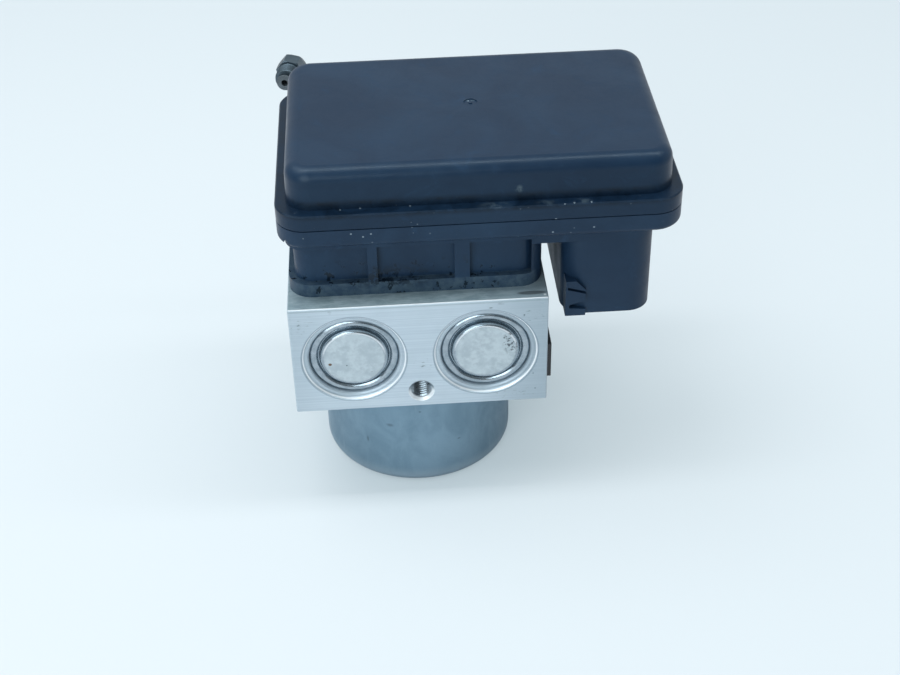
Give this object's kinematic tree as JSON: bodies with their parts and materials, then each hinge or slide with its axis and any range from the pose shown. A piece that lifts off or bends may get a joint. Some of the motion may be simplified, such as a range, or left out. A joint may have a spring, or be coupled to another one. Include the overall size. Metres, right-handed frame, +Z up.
{
  "type": "abs brake module",
  "caption": "Hydraulic brake control module: metal valve block between a round pump motor and a flat plastic control unit with a side connector.",
  "frame": {"origin": "middle of the round end face of the motor, on the surface that the module stands on", "axes": "+Z up along the motor axis to the control unit, +X to the connector side, +Y to the back with the pipe ports"},
  "size_m": [0.1512, 0.1326, 0.1475],
  "materials": {
    "machined_aluminium": "milled, fine lines",
    "caulked_steel": "pressed, satin",
    "motor_steel": "dull plated",
    "lid_plastic": "soft satin",
    "housing_plastic": "soft satin",
    "dark_plastic": "matte",
    "black_plate": "matte",
    "seal_rubber": "matte",
    "board_green": "lacquered",
    "capacitor_can": "satin",
    "copper": "satin",
    "tinned_brass": "bright",
    "zinc_screws": "zinc plated",
    "pipe_steel": "coated",
    "spring_steel": "drawn wire",
    "hard_steel": "ground",
    "bronze": "sintered",
    "ferrite": "matte",
    "carbon": "matte",
    "piston_aluminium": "turned"
  },
  "bodies": {
    "module": {"accumulator_cap_left": "caulked_steel", "accumulator_cap_right": "caulked_steel", "accumulator_spring_left": "spring_steel", "accumulator_spring_right": "spring_steel", "bearing_balls": "hard_steel", "bearing_outer_ring": "hard_steel", "block_seal": "seal_rubber", "board_capacitors": "capacitor_can", "board_chips": "dark_plastic", "brake_pipe": "pipe_steel", "brush_plate": "dark_plastic", "brush_springs": "spring_steel", "circuit_board": "board_green", "coil_bobbins": "dark_plastic", "coil_pins": "tinned_brass", "coil_windings": "copper", "coil_yokes": "hard_steel", "connector_header": "dark_plastic", "connector_pins": "tinned_brass", "ecu_housing": "housing_plastic", "ecu_lid": "lid_plastic", "ecu_screws": "zinc_screws", "inlet_valves": "hard_steel", "lid_seal": "seal_rubber", "motor_brushes": "carbon", "motor_can": "motor_steel", "motor_lead_pins": "tinned_brass", "motor_lead_plug": "dark_plastic", "motor_magnets": "ferrite", "motor_relay": "dark_plastic", "motor_screws": "zinc_screws", "outlet_valves": "hard_steel", "pipe_nuts": "zinc_screws", "pump_plugs": "hard_steel", "pump_sleeves": "hard_steel", "pump_spring_left": "spring_steel", "pump_spring_right": "spring_steel", "shaft_bushes": "bronze", "side_plate": "black_plate", "valve_block": "machined_aluminium", "valve_springs": "spring_steel"},
    "rotor": {"motor_shaft": "hard_steel", "armature_core": "hard_steel", "armature_windings": "copper", "commutator": "copper", "bearing_inner_ring": "hard_steel", "eccentric_ring": "hard_steel"},
    "accumulator_piston_l": {"accumulator_piston_left": "piston_aluminium"},
    "accumulator_piston_r": {"accumulator_piston_right": "piston_aluminium"},
    "pump_piston_l": {"pump_piston_left": "hard_steel"},
    "pump_piston_r": {"pump_piston_right": "hard_steel"},
    "inlet_valve_plunger_1": {"inlet_plunger_1": "hard_steel"},
    "inlet_valve_plunger_2": {"inlet_plunger_2": "hard_steel"},
    "inlet_valve_plunger_3": {"inlet_plunger_3": "hard_steel"},
    "inlet_valve_plunger_4": {"inlet_plunger_4": "hard_steel"},
    "outlet_valve_plunger_1": {"outlet_plunger_1": "hard_steel"},
    "outlet_valve_plunger_2": {"outlet_plunger_2": "hard_steel"},
    "outlet_valve_plunger_3": {"outlet_plunger_3": "hard_steel"},
    "outlet_valve_plunger_4": {"outlet_plunger_4": "hard_steel"}
  },
  "joints": [
    {"name": "rotor_spin", "type": "hinge", "parent": "module", "child": "rotor", "pos_m": [0, 0, 0.05], "axis": [0, 0, 1], "continuous": true},
    {"name": "accumulator_left_stroke", "type": "slide", "parent": "module", "child": "accumulator_piston_l", "axis": [0, -1, 0], "range_m": [0, 0.008], "stiffness_N_per_m": 600, "springref_m": -0.006, "deforming": ["accumulator_spring_left"]},
    {"name": "accumulator_right_stroke", "type": "slide", "parent": "module", "child": "accumulator_piston_r", "axis": [0, -1, 0], "range_m": [0, 0.008], "stiffness_N_per_m": 600, "springref_m": -0.006, "deforming": ["accumulator_spring_right"]},
    {"name": "pump_left_stroke", "type": "slide", "parent": "module", "child": "pump_piston_l", "axis": [1, 0, 0], "range_m": [0, 0.0014], "stiffness_N_per_m": 800, "springref_m": 0.0014, "deforming": ["pump_spring_left"]},
    {"name": "pump_right_stroke", "type": "slide", "parent": "module", "child": "pump_piston_r", "axis": [-1, 0, 0], "range_m": [0, 0.0014], "stiffness_N_per_m": 800, "springref_m": 0.0014, "deforming": ["pump_spring_right"]},
    {"name": "inlet_1_lift", "type": "slide", "parent": "module", "child": "inlet_valve_plunger_1", "axis": [0, 0, 1], "range_m": [-0.00044, 0], "stiffness_N_per_m": 1500, "springref_m": 0.0004},
    {"name": "inlet_2_lift", "type": "slide", "parent": "module", "child": "inlet_valve_plunger_2", "axis": [0, 0, 1], "range_m": [-0.00044, 0], "stiffness_N_per_m": 1500, "springref_m": 0.0004},
    {"name": "inlet_3_lift", "type": "slide", "parent": "module", "child": "inlet_valve_plunger_3", "axis": [0, 0, 1], "range_m": [-0.00044, 0], "stiffness_N_per_m": 1500, "springref_m": 0.0004},
    {"name": "inlet_4_lift", "type": "slide", "parent": "module", "child": "inlet_valve_plunger_4", "axis": [0, 0, 1], "range_m": [-0.00044, 0], "stiffness_N_per_m": 1500, "springref_m": 0.0004},
    {"name": "outlet_1_lift", "type": "slide", "parent": "module", "child": "outlet_valve_plunger_1", "axis": [0, 0, 1], "range_m": [0, 0.0004], "stiffness_N_per_m": 1500, "springref_m": -0.0004},
    {"name": "outlet_2_lift", "type": "slide", "parent": "module", "child": "outlet_valve_plunger_2", "axis": [0, 0, 1], "range_m": [0, 0.0004], "stiffness_N_per_m": 1500, "springref_m": -0.0004},
    {"name": "outlet_3_lift", "type": "slide", "parent": "module", "child": "outlet_valve_plunger_3", "axis": [0, 0, 1], "range_m": [0, 0.0004], "stiffness_N_per_m": 1500, "springref_m": -0.0004},
    {"name": "outlet_4_lift", "type": "slide", "parent": "module", "child": "outlet_valve_plunger_4", "axis": [0, 0, 1], "range_m": [0, 0.0004], "stiffness_N_per_m": 1500, "springref_m": -0.0004}
  ]
}
